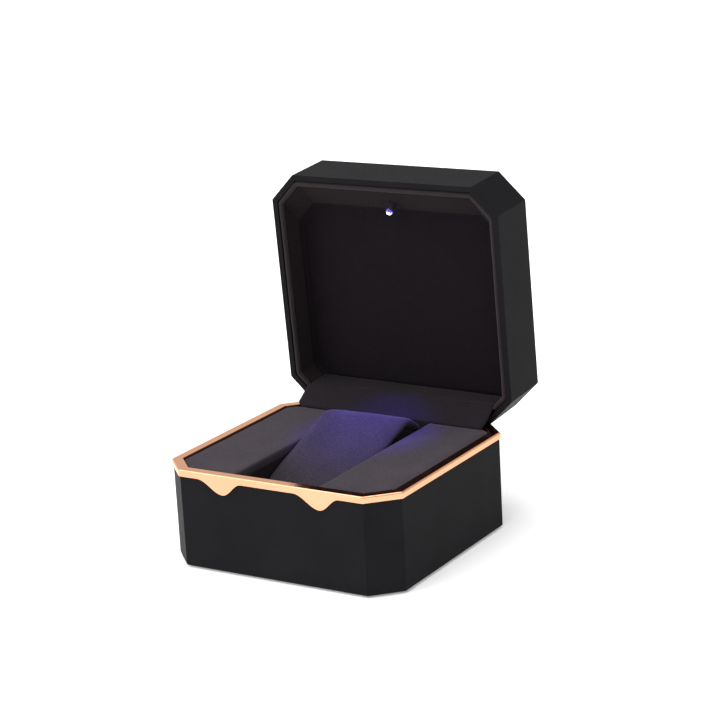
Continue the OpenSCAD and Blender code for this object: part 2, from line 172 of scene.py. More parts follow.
def moulded(name, low, high, roughness, ior=1.45, grain=0.35, height=0.02):
    """Plastic or board: faint patches of colour and gloss over a fine grain, sized in millimetres."""
    look = Look(name, IOR=ior)
    look.colour(look.noise(size_mm=14, detail=4), low, high)
    look.rough(look.noise(size_mm=1.2, detail=3), roughness - 0.03, roughness + 0.03)
    look.bump(look.noise(grain, detail=2), height)
    return look.material


def metal(name, low, high, roughness, grain=(1, 1, 1), size=0.3, height=0.004, edge=(1, 1, 1, 1)):
    """Metal: uneven polish over a fine grain; edge tints it where it is seen at a slant."""
    look = Look(name, Metallic=1.0, Specular_Tint=edge)
    look.colour(look.noise(size_mm=20, detail=2), low, high)
    look.rough(look.noise(size_mm=2.5, detail=4), roughness * 0.8, roughness * 1.25)
    look.bump(look.noise(size, detail=2, stretch=grain), height)
    return look.material


def suede(name, low, high, sheen, tint, nap=0.5, height=0.14):
    """Brushed cloth: short fibres, pressed and raised patches of nap, and a soft sheen."""
    look = Look(
        name,
        roughness=0.92,
        Specular_IOR_Level=0.12,
        Sheen_Weight=sheen,
        Sheen_Roughness=0.45,
        Sheen_Tint=tint,
    )
    fibres = look.noise(nap, detail=4, distortion=0.6)
    rubbed = look.noise(size_mm=11, detail=3, stretch=(1, 0.6, 1))
    look.colour(look.blended(fibres, rubbed, 0.3), low, high)
    look.rough(rubbed, 0.84, 0.98)
    weave = look.noise(nap * 1.8, detail=2, stretch=(1, 2.2, 1))
    look.bump(look.blended(fibres, weave, 0.4), height)
    return look.material


BLACK = moulded("soft_touch_black", srgb(26, 25, 27), srgb(29, 28, 30), 0.46, 1.08, 0.3, 0.01)
ROSE = metal(
    "rose_gold",
    srgb(238, 172, 134),
    srgb(242, 180, 142),
    0.15,
    size=1.6,
    height=0.003,
    edge=(1, 0.9, 0.8, 1),
)
SUEDE = suede("suede_charcoal", srgb(35, 31, 35), srgb(64, 57, 63), 0.16, srgb(190, 182, 200))
SUEDE_DARK = suede("suede_dark", srgb(22, 18, 22), srgb(35, 30, 35), 0.08, srgb(180, 170, 185))
TONGUE = suede("suede_tongue", srgb(28, 25, 28), srgb(60, 53, 59), 0.16, srgb(190, 180, 205))
LINING = suede("suede_lining", srgb(23, 18, 19), srgb(37, 31, 32), 0.08, srgb(180, 168, 172))
VELVET = suede("velvet_black", srgb(13, 9, 13), srgb(23, 17, 22), 0.05, srgb(170, 155, 170), 0.35, 0.1)
# Lid lining suede made lighter, with a stronger and whiter sheen: a painted highlight along the lid's rolled
# edge.
EDGE_PAINTED_HIGHLIGHT = suede("suede_edge_painted_highlight", srgb(28, 24, 26), srgb(50, 43, 46), 0.2, srgb(220, 210, 215), 0.2, 0.05)
FELT = suede("foot_felt", srgb(22, 22, 24), srgb(34, 34, 37), 0.15, srgb(190, 190, 195), 0.5, 0.15)
ALONG = (0.2, 3, 3)
STEEL = metal("steel", srgb(170, 171, 175), srgb(190, 191, 196), 0.3, ALONG, size=0.5)
SPRING = metal("spring_steel", srgb(120, 121, 128), srgb(150, 151, 158), 0.28, ALONG, size=0.5)
BRASS = metal("contact_brass", srgb(190, 156, 84), srgb(210, 176, 104), 0.25)
NICKEL = metal("nickel", srgb(196, 197, 202), srgb(214, 215, 220), 0.18)
CARD = moulded("pressed_board", srgb(52, 52, 55), srgb(66, 66, 69), 0.85, 1.3, 0.8, 0.06)
GREY_CARD = moulded("grey_board", srgb(128, 120, 106), srgb(150, 141, 127), 0.9, 1.3, 0.8, 0.06)
GREEN = moulded("circuit_green", srgb(34, 92, 52), srgb(44, 108, 62), 0.35, 1.5, 1.2, 0.01)
DARK_PLASTIC = moulded("dark_plastic", srgb(26, 26, 28), srgb(34, 34, 36), 0.5)
WHITE_PLASTIC = moulded("white_plastic", srgb(205, 205, 203), srgb(222, 222, 220), 0.4)
RED_SLEEVE = moulded("wire_red", srgb(150, 30, 34), srgb(172, 42, 44), 0.45)

# The lamp's glow: its centre, how far it reaches, how uneven it is, and its colours from the centre out.
GLOW_CENTRE = OPENED @ Vector((0, -33.3, 43.5))
GLOW_REACH = 4.5
GLOW_RIPPLE = 0.35
GLOW_STOPS = [
    (0.0, (6, 6, 7, 1)),
    (0.2, (4, 3.6, 7, 1)),
    (0.27, (0.2, 0.11, 1.4, 1)),
    (0.36, (0.02, 0.01, 0.12, 1)),
    (0.5, (0.0, 0.0, 0.0, 1)),
]


def lamp_material():
    """Lens, dark along its sides and glowing from a small white core near its tip."""
    look = Look("lamp_lens", 0.15, Specular_IOR_Level=0.5)
    look.colour(look.noise(size_mm=0.8, detail=2), srgb(34, 30, 38), srgb(44, 39, 50))
    away = look.node("ShaderNodeVectorMath", operation="DISTANCE")
    away.inputs[1].default_value = GLOW_CENTRE * MM
    look.link(look.place, away.inputs[0])
    ripple = look.spread(look.noise(size_mm=0.7, detail=2), -GLOW_RIPPLE * MM, GLOW_RIPPLE * MM)
    reach = look.node("ShaderNodeMath", operation="ADD")
    look.link(away.outputs["Value"], reach.inputs[0])
    look.link(ripple, reach.inputs[1])
    near = look.node("ShaderNodeMapRange")
    near.inputs["From Max"].default_value = GLOW_REACH * MM
    look.link(reach.outputs["Value"], near.inputs["Value"])
    look.link(look.ramp(near.outputs["Result"], GLOW_STOPS), look.shader.inputs["Emission Color"])
    look.shader.inputs["Emission Strength"].default_value = 1.0
    look.bump(look.noise(size_mm=0.5, detail=2), 0.03)
    return look.material


CAD_LOOKS = {
    "base_shell": BLACK,
    "lid_shell": BLACK,
    "trim_band": ROSE,
    "trim_frame": ROSE,
    "insert_tray": CARD,
    "tongue_anchor": CARD,
    "snap_spring": SPRING,
    "hinge_leaf_base": STEEL,
    "hinge_leaf_lid": STEEL,
    "hinge_pin": NICKEL,
    "hinge_screws_base": NICKEL,
    "hinge_screws_lid": NICKEL,
    "panel_board": GREY_CARD,
    "led_board": GREEN,
    "led_lamp": lamp_material(),
    "battery_holder": DARK_PLASTIC,
    "coin_cell": NICKEL,
    "battery_contact": BRASS,
    "switch_body": DARK_PLASTIC,
    "switch_plunger": WHITE_PLASTIC,
    "lead_wires": RED_SLEEVE,
}
BEVELS = {"base_shell": 0.22, "lid_shell": 0.28, "trim_band": 0.15, "trim_frame": 0.08}


def soften_edges(cad, width_mm):
    """Joins the mesh's flat faces back together and rounds its sharp edges, by modifiers."""
    weld = cad.modifiers.new("weld", "WELD")
    weld.merge_threshold = 0.002 * MM
    flat = cad.modifiers.new("flat", "DECIMATE")
    flat.decimate_type = "DISSOLVE"
    flat.angle_limit = math.radians(0.6)
    bevel = cad.modifiers.new("bevel", "BEVEL")
    bevel.width = width_mm * MM
    bevel.segments = 2
    bevel.limit_method = "ANGLE"
    bevel.angle_limit = math.radians(28)
    bevel.harden_normals = False
    bevel.use_clamp_overlap = True


for node_name, look in CAD_LOOKS.items():
    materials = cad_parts[node_name].data.materials
    materials.clear()
    materials.append(look)

for node_name, width in BEVELS.items():
    soften_edges(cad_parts[node_name], width)


# ---------------------------------------------------------------- mesh helpers


def clamped(value):
    """The value, kept within 0 to 1."""
    return min(1.0, max(0.0, value))


def mesh_object(name, points, faces, look, transform=None, smooth=True):
    """Object from points in millimetres."""
    mesh = bpy.data.meshes.new(name)
    placed = [Vector(p) for p in points]
    if transform is not None:
        placed = [transform @ p for p in placed]
    mesh.from_pydata([p * MM for p in placed], [], faces)
    mesh.validate()
    made = bmesh.new()
    made.from_mesh(mesh)
    bmesh.ops.remove_doubles(made, verts=made.verts, dist=1e-7)
    bmesh.ops.recalc_face_normals(made, faces=made.faces)
    made.to_mesh(mesh)
    made.free()
    mesh.materials.append(look)
    mesh.polygons.foreach_set("use_smooth", [smooth] * len(mesh.polygons))
    obj = bpy.data.objects.new(name, mesh)
    bpy.context.scene.collection.objects.link(obj)
    return obj


def grid_faces(rows, columns, start=0, closed=False):
    """Quads of a grid of points, row by row; closed joins the last column to the first."""
    faces = []
    for r in range(rows - 1):
        for c in range(columns if closed else columns - 1):
            n = (c + 1) % columns
            a = start + r * columns
            faces.append((a + c, a + n, a + columns + n, a + columns + c))
    return faces


def capped_faces(rows, columns):
    """Faces of a tube of closed rings, with a face over each end."""
    faces = grid_faces(rows, columns, closed=True)
    faces.append(tuple(range(columns)))
    faces.append(tuple(range((rows - 1) * columns, rows * columns)))
    return faces


def slab_faces(rows, columns):
    """Faces of a slab: two grids of points, one listed after the other, joined all round their rims."""
    back = rows * columns
    last = (rows - 1) * columns
    faces = grid_faces(rows, columns) + grid_faces(rows, columns, back)
    rim = list(range(columns))
    rim += [r * columns + columns - 1 for r in range(1, rows)]
    rim += [last + c for c in range(columns - 2, -1, -1)]
    rim += [r * columns for r in range(rows - 2, 0, -1)]
    for a, b in zip(rim, rim[1:] + rim[:1]):
        faces.append((a, b, b + back, a + back))
    return faces


def apply_modifiers(obj):
    """Bakes the object's modifiers into its mesh."""
    graph = bpy.context.evaluated_depsgraph_get()
    mesh = bpy.data.meshes.new_from_object(obj.evaluated_get(graph), depsgraph=graph)
    obj.modifiers.clear()
    obj.data = mesh
    mesh.polygons.foreach_set("use_smooth", [True] * len(mesh.polygons))


def octagon(inset):
    """Corners of the inset octagon, anticlockwise from the back end of the rear left corner."""
    a = HALF_W - inset
    b = HALF_D - inset
    c = CORNER - inset * CORNER_LOSS
    left = [(c - a, b), (-a, b - c), (-a, c - b), (c - a, -b)]
    right = [(a - c, -b), (a, c - b), (a, b - c), (a - c, b)]
    return left + right


def rounded(path, radius, steps, closed=True):
    """Polyline through path with its corners turned into arcs of about that radius."""
    out = []
    count = len(path)
    for i, here in enumerate(path):
        if not closed and i in (0, count - 1):
            out.append(tuple(here))
            continue
        p = Vector(here)
        before, after = Vector(path[i - 1]), Vector(path[(i + 1) % count])
        to_before, to_after = (before - p).normalized(), (after - p).normalized()
        half = to_before.angle(to_after) / 2
        reach = min(radius / math.tan(half), 0.45 * min((before - p).length, (after - p).length))
        start, end = p + to_before * reach, p + to_after * reach
        for k in range(steps + 1):
            t = k / steps
            out.append(tuple(start.lerp(p, t).lerp(p.lerp(end, t), t)))
    return out


def resampled(path, spacing, closed=False):
    """The same polyline with points about spacing apart, every corner kept."""
    points = [Vector(p) for p in path]
    if closed:
        points.append(points[0])
    out = []
    for a, b in zip(points, points[1:]):
        parts = max(1, round((b - a).length / spacing))
        out.extend(a.lerp(b, k / parts) for k in range(parts))
    if not closed:
        out.append(points[-1])
    return out


def tube(name, path, radius, look, transform, sides):
    """Closed round bead along a path of 3-D points in millimetres, drawn in at its two ends."""
    reference = Vector((0.13, 0.21, 1))
    end_share = 0.35
    points = []
    count = len(path)
    path = [Vector(p) for p in path]
    for i, p in enumerate(path):
        along = (path[min(i + 1, count - 1)] - path[max(i - 1, 0)]).normalized()
        side = along.cross(reference).normalized()
        up = side.cross(along)
        taper = radius * (end_share if i in (0, count - 1) else 1)
        for k in range(sides):
            angle = 2 * math.pi * k / sides
            points.append(p + taper * (math.cos(angle) * side + math.sin(angle) * up))
    return mesh_object(name, points, capped_faces(count, sides), look, transform)


# Cloth is worked out at this many times its real size, where the solver's steps suit it.
SIM_SCALE = 10.0
SIM_FRAMES = 20


def add_cloth(obj, pressure):
    """Cloth that its inner pressure swells, with no gravity and the points of the group held kept still."""
    cloth = obj.modifiers.new("cloth", "CLOTH")
    settings = cloth.settings
    settings.quality = 5
    settings.mass = 0.3
    settings.use_pressure = True
    settings.uniform_pressure_force = pressure
    settings.tension_stiffness = 15
    settings.compression_stiffness = 15
    settings.bending_stiffness = 0.5
    settings.vertex_group_mass = "held"
    settings.effector_weights.gravity = 0
    cloth.collision_settings.use_collision = False
    cloth.collision_settings.use_self_collision = False


def swell(obj, cap_mm, pressure, held):
    """Simulates the piece as cloth. No point moves further than the cap, or at all where held() is true."""
    rest = [v.co.copy() for v in obj.data.vertices]
    group = obj.vertex_groups.new(name="held")
    group.add([i for i, co in enumerate(rest) if held(co / MM)], 1.0, "REPLACE")
    obj.data.transform(Matrix.Scale(SIM_SCALE, 4))
    add_cloth(obj, pressure)
    scene = bpy.context.scene
    for number in range(1, SIM_FRAMES + 1):
        scene.frame_set(number)
    apply_modifiers(obj)
    scene.frame_set(1)
    obj.data.transform(Matrix.Scale(1 / SIM_SCALE, 4))
    for vertex, start in zip(obj.data.vertices, rest):
        move = vertex.co - start
        if move.length > cap_mm * MM:
            vertex.co = start + move.normalized() * cap_mm * MM
    obj.vertex_groups.clear()


def padded_cloth(obj, voxel_mm, cap_mm, pressure, held):
    """Turns a closed shape into a swollen, smooth cloth cover."""
    remesh = obj.modifiers.new("remesh", "REMESH")
    remesh.mode = "VOXEL"
    remesh.voxel_size = voxel_mm * MM
    apply_modifiers(obj)
    swell(obj, cap_mm, pressure, held)
    smooth = obj.modifiers.new("smooth", "SMOOTH")
    smooth.factor = 0.5
    smooth.iterations = 3
    subdivide = obj.modifiers.new("subdivide", "SUBSURF")
    subdivide.levels = 1
    subdivide.render_levels = 1
    apply_modifiers(obj)


def ruffle(obj, size_mm, height_mm, seed):
    """Moves every point a little along its normal, by smooth noise."""
    vertices = obj.data.vertices
    shift = Vector((seed, 0, 0))
    moves = [v.normal * noise.noise(v.co / (size_mm * MM) + shift) * height_mm * MM for v in vertices]
    for vertex, move in zip(vertices, moves):
        vertex.co += move


def finish_piece(obj, body, nodes):
    """Puts the piece on its body and hides the CAD nodes that it stands for."""
    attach(obj, body)
    if nodes:
        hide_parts(*nodes)


# ---------------------------------------------------------------- pads

PAD_INSET = 3.98
PAD_BACK = 38.75
PAD_EDGE = CHANNEL_HALF + 0.1
# The pad's side from below: how far it draws in, and its height.
PAD_LEVELS = [
    (0.25, PAD_LOW),
    (0, PAD_LOW + 0.5),
    (0, PAD_TOP - 0.5),
    (0.12, PAD_TOP - 0.1),
    (0.5, PAD_TOP + 0.1),
]


def pad_outline(side):
    """The octagon's side, cut straight along the channel and at the back."""
    a = HALF_W - PAD_INSET
    b = HALF_D - PAD_INSET
    c = CORNER - PAD_INSET * CORNER_LOSS
    outline = [(PAD_EDGE, -b), (a - c, -b), (a, c - b), (a, b - c)]
    outline += [(a - (PAD_BACK - b + c), PAD_BACK), (PAD_EDGE, PAD_BACK)]
    return [(side * x, y) for x, y in outline]


def pad(name, side, node_name, seed):
    """Foam pad under suede."""
    path = rounded(pad_outline(side), radius=0.7, steps=4)
    centre = Vector((side * (PAD_EDGE + (HALF_W - PAD_INSET)) / 2, 0))
    points = []
    for shrink, z in PAD_LEVELS:
        for p in path:
            v = Vector(p)
            inward = (centre - v).normalized() * shrink
            points.append((v.x + inward.x, v.y + inward.y, z))
    obj = mesh_object(name, points, capped_faces(len(PAD_LEVELS), len(path)), SUEDE)
    padded_cloth(obj, voxel_mm=0.7, cap_mm=0.12, pressure=2.0, held=lambda p: p.z < PAD_LOW + 1.2)
    ruffle(obj, size_mm=13, height_mm=0.12, seed=seed)
    finish_piece(obj, "base", [node_name])


pad("left_suede_pad", -1, "left_pad", 3.1)
pad("right_suede_pad", 1, "right_pad", 7.7)


# ---------------------------------------------------------------- channel between the pads

TROUGH_HALF = CHANNEL_HALF + 0.3
TROUGH_FRONT = -41.7
TROUGH_BACK = 37.3
TROUGH_TOP = PAD_LOW + 0.4
TROUGH_WALL = 0.35


def outside_wall(x, y):
    """A point of the trough's inner ring, moved out through the wall."""
    near = 1.2
    if abs(x) > TROUGH_HALF - near:
        x += math.copysign(TROUGH_WALL, x)
    if y < TROUGH_FRONT + near:
        y -= TROUGH_WALL
    elif y > TROUGH_BACK - near:
        y += TROUGH_WALL
    return x, y


def channel():
    """Suede-lined trough: thin floor and walls with rounded inner corners."""
    corners = [
        (-TROUGH_HALF, TROUGH_FRONT),
        (TROUGH_HALF, TROUGH_FRONT),
        (TROUGH_HALF, TROUGH_BACK),
        (-TROUGH_HALF, TROUGH_BACK),
    ]
    smooth_ring = rounded(corners, radius=1.0, steps=4)
    inner = [tuple(p) for p in resampled(smooth_ring, spacing=4.0, closed=True)]
    outer = [outside_wall(x, y) for x, y in inner]
    rows = [
        (outer, CHANNEL_FLOOR - 0.3),
        (outer, TROUGH_TOP - 0.15),
        (inner, TROUGH_TOP),
        (inner, TROUGH_TOP - 3),
        (inner, 28),
        (inner, 23),
        (inner, CHANNEL_FLOOR + 1.0),
        ([(x * 0.985, y * 0.99) for x, y in inner], CHANNEL_FLOOR + 0.25),
        ([(x * 0.94, y * 0.96) for x, y in inner], CHANNEL_FLOOR),
    ]
    points = [(x, y, z) for ring, z in rows for x, y in ring]
    obj = mesh_object("channel_suede", points, capped_faces(len(rows), len(inner)), SUEDE_DARK)
    obj.data.set_sharp_from_angle(angle=math.radians(32))
    ruffle(obj, size_mm=9, height_mm=0.12, seed=1.3)
    finish_piece(obj, "base", ["channel_lining"])


channel()


# ---------------------------------------------------------------- tongue

TONGUE_HALF = 17.4
TONGUE_T = 3.0
LEAF_T = 0.5
# Side view of the leaf as (y, z): its root, and the centre and radius of the curl at its crest.
ROOT = (-38.8, 21.82)
CREST = (23.0, 35.7)
CREST_R = 7.0
# Slopes before and after the crest, and the straight length after it.
RISE = math.radians(19)
FALL = math.radians(38)
TAIL = 8.6


def tongue_middle(steps_front=40, steps_arc=16, steps_tail=6):
    """Points and upward normals of the leaf's middle line, seen from the side."""
    out = []
    rise_y = CREST[0] - CREST_R * math.sin(RISE)
    rise_z = CREST[1] + CREST_R * math.cos(RISE)
    up = (-math.sin(RISE), math.cos(RISE))
    for k in range(steps_front):
        t = k / steps_front
        out.append((ROOT[0] + (rise_y - ROOT[0]) * t, ROOT[1] + (rise_z - ROOT[1]) * t, up))
    for k in range(steps_arc + 1):
        a = math.pi / 2 + RISE - (RISE + FALL) * k / steps_arc
        normal = (math.cos(a), math.sin(a))
        out.append((CREST[0] + CREST_R * normal[0], CREST[1] + CREST_R * normal[1], normal))
    end_y, end_z, down = out[-1]
    for k in range(1, steps_tail + 1):
        d = TAIL * k / steps_tail
        out.append((end_y + d * math.cos(FALL), end_z - d * math.sin(FALL), down))
    return out


def tongue_place(x, y, z):
    """The slight twist of the real tongue: its left side crests nearer the front and a little higher."""
    u = x / TONGUE_HALF
    share = clamped((y - ROOT[0]) / -ROOT[0])
    share = share * share * (3 - 2 * share) * 0.35 + share * 0.65
    bulge = 0.45 * (1 - u) * math.sin(math.pi * share)
    return (x * (1 + 0.018 * share), y + (-1.2 + 2.6 * u) * share, z + (0.3 - 0.85 * u) * share + bulge)


def cover_ring(y, z, normal, tail, columns):
    """Section of the cover, rounded along its long edges; tail thins and narrows it from 0 to 1."""
    half_width = TONGUE_HALF - 0.25 - 0.9 * tail * tail
    half_height = TONGUE_T * (1 - 0.35 * tail * tail) / 2 - 0.1
    ring = []
    for k in range(columns):
        a = 2 * math.pi * k / columns
        ca, sa = math.cos(a), math.sin(a)
        across = math.copysign(abs(ca) ** 0.22, ca) * half_width
        out = math.copysign(abs(sa) ** 0.6, sa) * half_height
        ring.append(tongue_place(across, y + normal[0] * out, z + normal[1] * out))
    return ring


def tongue_cover():
    """Padded suede cover on the sprung leaf, with rounded long edges and a curled tail."""
    middle = tongue_middle()
    columns = 26
    tail_steps = 4
    tail_from = len(middle) - 1 - tail_steps
    points = []
    for i, (y, z, normal) in enumerate(middle):
        tail = max(0.0, (i - tail_from) / tail_steps)
        points.extend(cover_ring(y, z, normal, tail, columns))
    obj = mesh_object("tongue_suede", points, capped_faces(len(middle), columns), TONGUE)
    padded_cloth(obj, voxel_mm=0.9, cap_mm=0.3, pressure=2.0, held=lambda p: p.y < ROOT[0] + 4)
    ruffle(obj, size_mm=11, height_mm=0.22, seed=5.2)
    finish_piece(obj, "tongue", ["tongue_cover"])


def tongue_leaf():
    """Steel leaf inside the cover, with the cover's twist."""
    half = TONGUE_HALF - 1.2
    spans = 8
    middle = tongue_middle()[1:-3]
    points = []
    for y, z, normal in middle:
        low, high = [], []
        for k in range(spans + 1):
            x = half * (2 * k / spans - 1)
            low.append(tongue_place(x, y - normal[0] * LEAF_T / 2, z - normal[1] * LEAF_T / 2))
            high.append(tongue_place(x, y + normal[0] * LEAF_T / 2, z + normal[1] * LEAF_T / 2))
        points.extend(low + high[::-1])
    faces = capped_faces(len(middle), 2 * (spans + 1))
    obj = mesh_object("tongue_steel_leaf", points, faces, SPRING, smooth=False)
    finish_piece(obj, "tongue", ["tongue_spring"])


tongue_cover()
tongue_leaf()


# ---------------------------------------------------------------- lid lining

# The lining's open ring stops on the rear cut corners: no further out, and no nearer the front, than this.
STOP_OUT = 41.3
STOP_BACK = 40.3
LINING_CUT = CORNER - 3.9 * CORNER_LOSS
FILLET = 1.5


def lining_ring(side, front, cut, radius):
    """Open ring round three sides of the lid, from the rear left corner round the front to the rear right."""
    a, b, back = HALF_W - side, HALF_D - front, HALF_D - side
    corner_back = CORNER - side * CORNER_LOSS
    stop_x = min(STOP_OUT, a + back - corner_back - STOP_BACK)
    stop_y = a + back - corner_back - stop_x
    path = [(-stop_x, stop_y), (-a, back - corner_back), (-a, cut - b), (cut - a, -b)]
    path += [(-x, y) for x, y in reversed(path)]
    return rounded(path, radius, steps=6, closed=False)


def rim_rows():
    """Rows of (side inset, front inset, height, corner radius) that turn in from the shell's wall."""
    profile = [(2.34, 42.2), (2.34, 41.6), (2.6, 41.3), (3.1, 41.15), (3.6, 41.1)]
    return [(inset, inset + 0.1 * k, z, 0.9) for k, (inset, z) in enumerate(profile)]


def wall_rows(first):
    """Rows down the steep sides and the sloped front wall, as far as the fillet."""
    steps = 12
    rows = []
    for k in range(steps + 1):
        t = k / steps
        z = first + (PANEL_Z - FILLET - first) * t
        rows.append((3.82 + 0.6 * t, 4.3 + 9.6 * t, z, 1.2 + 1.8 * t))
    return rows


def fillet_rows(side, front, radius):
    """Rows round the fillet to the panel, then out behind it to the shell's wall."""
    steps = 8
    rows = []
    for k in range(1, steps + 1):
        a = math.pi / 2 * k / steps
        out, along = 1 - math.cos(a), math.sin(a)
        z = PANEL_Z - FILLET + (FILLET - 0.06) * along
        rows.append((side + FILLET * out, front + 2.4 * out + 0.8 * along * (1 - out), z, radius + 1.5 * out))
    rows.append((side + FILLET, front + 2.4, PANEL_Z + 1.0, radius + 1.5))
    rows.append((2.42, 2.6, PANEL_Z + 1.4, 0.9))
    return rows


def lining_faces(rows, columns):
    """Faces of the lining: its skin, the back that joins the last row to the first, and the two ends."""
    last = (rows - 1) * columns
    faces = grid_faces(rows, columns)
    for c in range(columns - 1):
        faces.append((last + c, last + c + 1, c + 1, c))
    faces.append(tuple(r * columns for r in range(rows)))
    faces.append(tuple(r * columns + columns - 1 for r in range(rows)))
    return faces


def lid_lining():
    """Suede on board: steep sides, and the sloped wall that carries the lamp; velvet round the panel."""
    rows = rim_rows() + wall_rows(first=41.1)
    side, front, velvet_from, radius = rows[-1]
    rows += fillet_rows(side, front, radius)
    points = []
    for side, front, z, radius in rows:
        cut = LINING_CUT - (0.25 if front > 12 else 0)
        ring = lining_ring(side, front, cut, radius)
        points.extend((x, y, z) for x, y in ring)
    obj = mesh_object("lid_suede_lining", points, lining_faces(len(rows), len(ring)), LINING, OPENED)
    obj.data.materials.append(VELVET)
    shut = OPENED.inverted()
    for face in obj.data.polygons:
        if (shut @ (face.center / MM)).z > velvet_from + 0.02:
            face.material_index = 1
    subdivide = obj.modifiers.new("subdivide", "SUBSURF")
    subdivide.subdivision_type = "SIMPLE"
    subdivide.levels = 1
    subdivide.render_levels = 1
    apply_modifiers(obj)
    ruffle(obj, size_mm=8, height_mm=0.14, seed=2.4)
    finish_piece(obj, "lid", ["lid_lining"])


def rolled_edge():
    """Padded bead of suede round the lining's rim, in a lighter suede that is a painted highlight along the
    roll.
    """
    height = 39.72
    ring = lining_ring(side=3.3, front=3.6, cut=LINING_CUT, radius=1.4)
    path = [(x, y, height) for x, y in resampled(ring, spacing=1.6)]
    obj = tube("lid_rolled_edge", path, 0.94, EDGE_PAINTED_HIGHLIGHT, OPENED, sides=14)
    ruffle(obj, size_mm=5, height_mm=0.06, seed=6.1)
    finish_piece(obj, "lid", [])


lid_lining()
rolled_edge()


# ---------------------------------------------------------------- lid panel

PANEL_HALF = 46.0
PANEL_FRONT = -35.2
PANEL_BACK = 40.6
PANEL_INSET = 3.95


def panel_layer(columns, rows, back_z=None):
    """Grid of points over the panel: its crowned face, or its flat back at the height back_z."""
    # Where x + y reaches on the rear cut corners, beyond which the panel is cut off.
    limit = HALF_W + HALF_D - 2 * PANEL_INSET - (CORNER - PANEL_INSET * CORNER_LOSS)
    points = []
    for r in range(rows):
        for c in range(columns):
            u = 2 * c / (columns - 1) - 1
            v = 2 * r / (rows - 1) - 1
            x = PANEL_HALF * u
            y = PANEL_FRONT + (PANEL_BACK - PANEL_FRONT) * (v + 1) / 2
            over = abs(x) + y - limit
            if over > 0:
                x = math.copysign(abs(x) - over, x)
            crown = 0.3 * (1 - abs(u) ** 8) * (1 - abs(v) ** 8)
            points.append((x, y, PANEL_Z + 0.25 - crown if back_z is None else back_z))
    return points


def lid_panel():
    """Velvet over board, a little crowned towards the inside of the lid."""
    columns, rows = 37, 31
    points = panel_layer(columns, rows) + panel_layer(columns, rows, back_z=PANEL_Z + 1.4)
    obj = mesh_object("lid_velvet_panel", points, slab_faces(rows, columns), VELVET, OPENED)
    ruffle(obj, size_mm=16, height_mm=0.08, seed=9.4)
    finish_piece(obj, "lid", ["lid_panel"])


lid_panel()


# ---------------------------------------------------------------- strip of suede over the hinge

STRIP_T = 0.55
# The width that it is cut to, its half-width beside the pads, and how much wider it is over the hinge.
STRIP_HALF = 40.9
STRIP_FLARE = 1.0
STRIP_SPANS = 64


def opened_side(y, z):
    """Side view (y, z) of a point given with the lid shut, once the lid is open."""
    return tuple((OPENED @ Vector((0, y, z)))[1:])


def strip_path():
    """Side view of the strip: up behind the pads, back over the hinge, and on inside the lid to its panel."""
    inside_low = opened_side(39.55, 39.7)
    inside_high = opened_side(39.5, PANEL_Z + 0.6)
    corners = [
        (39.3, 31.2),
        (39.1, 38.35),
        (46.5, 44.3),
        (inside_low[0] + 0.8, inside_low[1] + 0.1),
        inside_high,
    ]
    path = rounded(corners, radius=1.0, steps=6, closed=False)
    return [p.to_tuple() for p in resampled(path, spacing=0.8)]


def strip_slack(x, i):
    """Slow waves of the suede, and small wrinkles, at x across and row i along the strip."""
    waves = noise.noise(Vector((x / 17, i / 9, 4.2))) * 0.22
    wrinkles = noise.noise(Vector((x / 6, i / 5, 1.2))) * 0.06
    return waves + wrinkles


def strip_row(i, y, z, normal):
    """Row i across the strip, as points of its face and of its back.

    The strip is a little wider over the hinge than beside the pads or inside the lid, sits to the left
    there, and is lower at its right inner end. Low down, between tray and pads, it has no slack.
    """
    over = clamped((z - 38.3) / 0.6)
    inside = clamped((y - 46.6) / 1.2)
    half = STRIP_HALF + STRIP_FLARE * over - 0.85 * inside
    shift = 0.75 * over * (1 - clamped((z - 39) / 6))
    free = clamped((z - 38.0) / 2)
    drop = 0.45 * clamped((y - 44) / 8)
    face, back = [], []
    for c in range(STRIP_SPANS + 1):
        u = 2 * c / STRIP_SPANS - 1
        x = half * u - shift
        slack = strip_slack(x, i) * free
        for layer, side in ((face, 0.5), (back, -0.5)):
            out = side * STRIP_T + slack
            layer.append((x, y + normal.x * out, z + normal.y * out - drop * (u + 1)))
    return face, back


def hinge_strip():
    """One sheet of suede that joins the base to the lid."""
    path = strip_path()
    last = len(path) - 1
    face, back = [], []
    for i, (y, z) in enumerate(path):
        before, after = Vector(path[max(i - 1, 0)]), Vector(path[min(i + 1, last)])
        along = (after - before).normalized()
        face_row, back_row = strip_row(i, y, z, Vector((-along.y, along.x)))
        face += face_row
        back += back_row
    faces = slab_faces(len(path), STRIP_SPANS + 1)
    obj = mesh_object("hinge_suede_strip", face + back, faces, SUEDE_DARK)
    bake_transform(obj)
    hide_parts("hinge_strip", "lid_rear_flap")


hinge_strip()


# ---------------------------------------------------------------- foot

# The foot's side from below: how far it stands in from the octagon, and its height.
FOOT_LEVELS = [(3.1, 0.0), (2.65, 0.12), (2.55, 0.4), (2.6, 0.78)]


def foot():
    """Felt pad stuck under the base, with a soft cut edge."""
    points = []
    for inset, z in FOOT_LEVELS:
        ring = resampled(rounded(octagon(inset), radius=1.5, steps=4), spacing=5, closed=True)
        points.extend((p[0], p[1], z) for p in ring)
    obj = mesh_object("foot_felt_pad", points, capped_faces(len(FOOT_LEVELS), len(ring)), FELT)
    finish_piece(obj, "base", ["base_pad"])


foot()


# ---------------------------------------------------------------- lamp's light

BEAM_START = OPENED @ Vector((0, -32.6, 42.6))
BEAM_TARGET = Vector((1.5, 22, 43))
VIOLET = (0.13, 0.07, 1.0)


